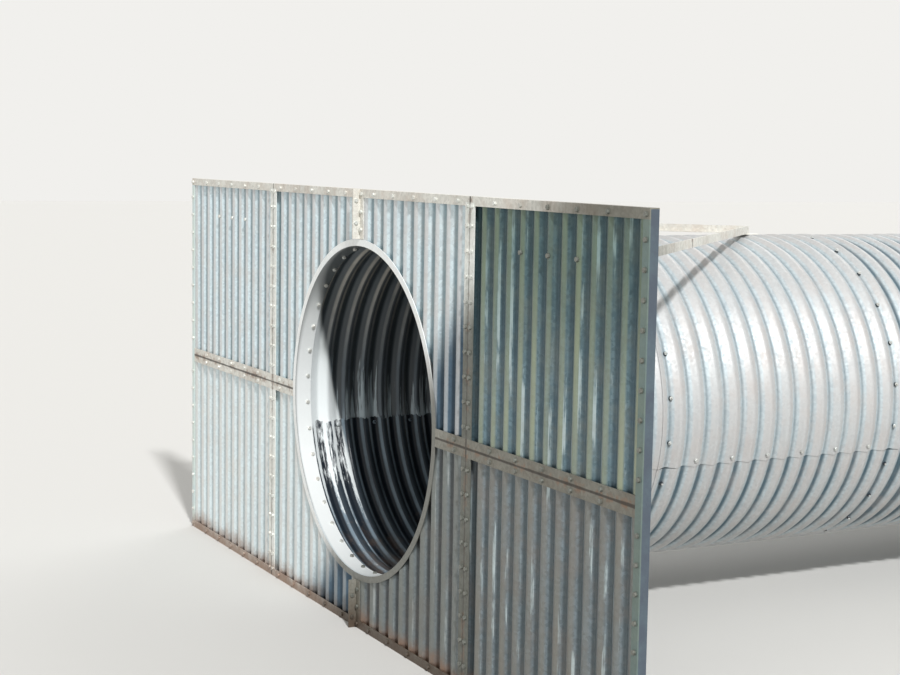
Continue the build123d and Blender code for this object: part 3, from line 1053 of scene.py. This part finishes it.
class Dresser:
    """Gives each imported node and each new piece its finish."""

    RULES: tuple[tuple[str, Finish], ...] = (
        ("lower_outer_sheet_right", Finish.SHADED_LOW_OUTER_SHEET),
        ("lower_inner_sheet_right", Finish.DAMP_SHEET),
        ("outer_sheet_right", Finish.SHADED_OUTER_SHEET),
        ("walers", Finish.ANGLE),
        ("upper", Finish.SHEET),
        ("lower", Finish.DUSTED_SHEET),
        ("lap_angles", Finish.LAP_ANGLE),
        ("edge_angles", Finish.EDGE_ANGLE),
        ("collar", Finish.COLLAR),
    )

    def __init__(self) -> None:
        """Builds every material once."""
        self.materials = {finish: finish.value.material() for finish in Finish}

    def finish_of(self, node: str) -> Finish:
        """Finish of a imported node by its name; what no rule names is framing angle."""
        if node.startswith("pipe_ring"):
            return Finish.PIPE if node.endswith("_upper") else Finish.COATED_PIPE
        return next((finish for words, finish in self.RULES if words in node), Finish.ANGLE)

    def dress_nodes(self, nodes: dict[str, bpy.types.Object]) -> None:
        """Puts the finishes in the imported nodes' material slots."""
        for name, node in nodes.items():
            finish = self.finish_of(name)
            for slot in node.material_slots:
                slot.material = self.materials[finish]
            LOG.info("%s: %s", name, finish.value.name)

    def dress_piece(self, piece: bpy.types.Object, finish: Finish) -> None:
        """Gives a new piece its finish and its body, and logs its faces.

        Args:
            piece: The new piece.
            finish: Its finish.
        """
        piece.data.materials.append(self.materials[finish])
        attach(piece, BODY)
        LOG.info("%s: %d faces", piece.name, len(piece.data.polygons))


@dataclass
class Studio:
    """Pale floor, soft light and the photograph's viewpoint."""

    floor_colour: str = "#D2D1CE"
    backdrop: str = "#F1F0ED"
    fill: float = 0.6
    key_strength: float = 3.25
    key_angle: float = math.radians(3.5)
    key_way: Vector = field(default_factory=lambda: Vector((-0.765, 0.175, -0.62)))
    rear_strength: float = 0.7
    rear_angle: float = math.radians(40.0)
    rear_way: Vector = field(default_factory=lambda: Vector((0.5, -0.7, -0.55)))
    eye: Vector = field(default_factory=lambda: Vector((6.927, -6.155, 2.17)))
    aim: Vector = field(default_factory=lambda: Vector((-0.133, -2.494, 1.301)))
    roll: float = math.radians(0.94)
    lens: float = 67.84
    floor_reach: float = 60.0
    view_reach: float = 200.0

    def build(self) -> None:
        """Makes the floor, the world, the lamps and the camera."""
        self._floor()
        self._world()
        self._lamp("key", self.key_strength, self.key_angle, self.key_way)
        self._lamp("rear", self.rear_strength, self.rear_angle, self.rear_way)
        self._camera()
        bpy.context.scene.view_settings.view_transform = "Standard"

    def _floor(self) -> None:
        """A wide plain floor at the feet of the walls."""
        bm = bmesh.new()
        bmesh.ops.create_grid(bm, x_segments=1, y_segments=1, size=self.floor_reach)
        mesh = bpy.data.meshes.new("floor")
        bm.to_mesh(mesh)
        bm.free()
        floor = bpy.data.objects.new("floor", mesh)
        bpy.context.scene.collection.objects.link(floor)
        material = bpy.data.materials.new("pale_floor")
        material.use_nodes = True
        tree = material.node_tree
        tree.nodes.clear()
        matt = add_node(tree, "ShaderNodeBsdfPrincipled", {
            "Base Color": linear(self.floor_colour), "Roughness": 0.9})
        add_node(tree, "ShaderNodeOutputMaterial", {"Surface": matt})
        mesh.materials.append(material)

    def _world(self) -> None:
        """Pale surroundings: even fill light, seen and mirrored as the backdrop."""
        world = bpy.data.worlds.new("studio")
        bpy.context.scene.world = world
        world.use_nodes = True
        tree = world.node_tree
        tree.nodes.clear()
        paths = tree.nodes.new("ShaderNodeLightPath")
        seen = add_node(tree, "ShaderNodeMath", {
            0: paths.outputs["Is Camera Ray"], 1: paths.outputs["Is Glossy Ray"]},
            operation="MAXIMUM")
        seen = add_node(tree, "ShaderNodeMath", {
            0: seen, 1: paths.outputs["Is Transmission Ray"]}, operation="MAXIMUM")
        strength = add_node(tree, "ShaderNodeMapRange", {"Value": seen, "To Min": self.fill,
                                                         "To Max": 1.0})
        sky = add_node(tree, "ShaderNodeBackground", {
            "Color": linear(self.backdrop), "Strength": strength})
        add_node(tree, "ShaderNodeOutputWorld", {"Surface": sky})

    def _lamp(self, name: str, strength: float, angle: float, way: Vector) -> None:
        """Adds a soft, even lamp.

        Args:
            name: The lamp's name.
            strength: Its light on a surface that it meets squarely.
            angle: Width that it seems to have, which softens its shadows.
            way: The way that its light goes.
        """
        lamp = bpy.data.lights.new(name, "SUN")
        lamp.energy = strength
        lamp.angle = angle
        holder = bpy.data.objects.new(name, lamp)
        holder.rotation_euler = way.to_track_quat("-Z", "Y").to_euler()
        bpy.context.scene.collection.objects.link(holder)

    def _camera(self) -> None:
        """Sets the camera to the photograph's place, aim, roll and lens."""
        camera = bpy.data.cameras.new("photograph")
        camera.lens = self.lens
        camera.sensor_width = 36.0
        camera.clip_end = self.view_reach
        holder = bpy.data.objects.new("photograph", camera)
        look = (self.aim - self.eye).to_track_quat("-Z", "Y").to_matrix().to_4x4()
        holder.matrix_world = (Matrix.Translation(self.eye) @ look
                               @ Matrix.Rotation(self.roll, 4, "Z"))
        bpy.context.scene.collection.objects.link(holder)
        bpy.context.scene.camera = holder


def main() -> None:
    """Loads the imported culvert, dresses it, adds its fasteners and sets the studio."""
    logging.basicConfig(level=logging.INFO, format="%(name)s %(message)s")
    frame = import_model()
    dresser = Dresser()
    dresser.dress_nodes(frame["nodes"])
    for group in [group for end in End for group in WallFasteners(end).groups()]:
        dresser.dress_piece(group.build(), Finish.BOLT)
    for group in PipeFasteners().groups():
        dresser.dress_piece(group.build(), Finish.PIPE_BOLT)
    Studio().build()


if __name__ == "__main__":
    main()
